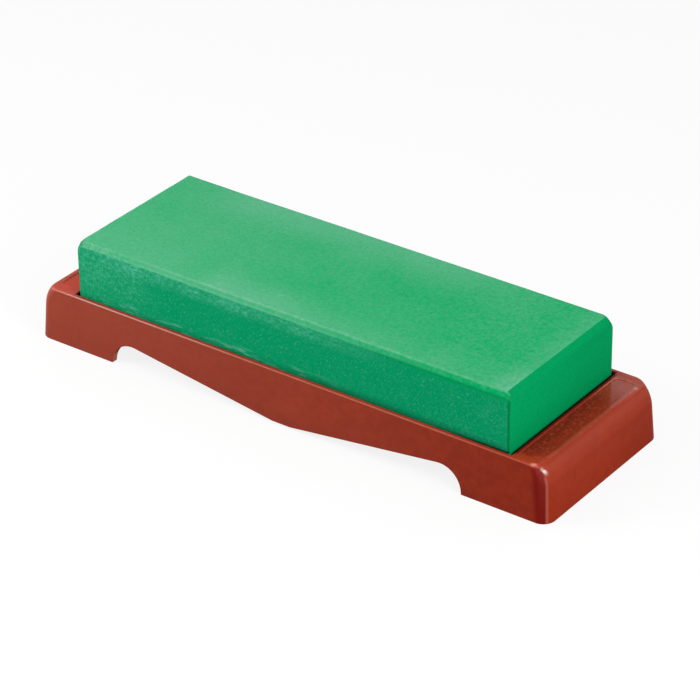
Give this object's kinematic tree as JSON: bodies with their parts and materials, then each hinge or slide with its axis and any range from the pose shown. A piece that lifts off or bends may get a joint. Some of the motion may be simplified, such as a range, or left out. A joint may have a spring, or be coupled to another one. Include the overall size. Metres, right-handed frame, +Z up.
{
  "type": "sharpening whetstone",
  "caption": "Bench whetstone: a chamfered abrasive block that sits in the shallow recess of a moulded plastic stand with end feet, a sloping skirt and sunken end panels.",
  "frame": {"origin": "on the ground under the middle of the stand", "axes": "+X along the block's length, +Y across it, +Z up"},
  "size_m": [0.2202, 0.0702, 0.0432],
  "materials": {
    "abrasive": "matte",
    "moulded_plastic": "gloss"
  },
  "bodies": {
    "base": {"base": "moulded_plastic"},
    "stone": {"stone": "abrasive"}
  },
  "joints": [
    {"name": "stone_lift", "type": "slide", "parent": "base", "child": "stone", "axis": [0, 0, 1], "range_m": [0, 0.03]}
  ]
}
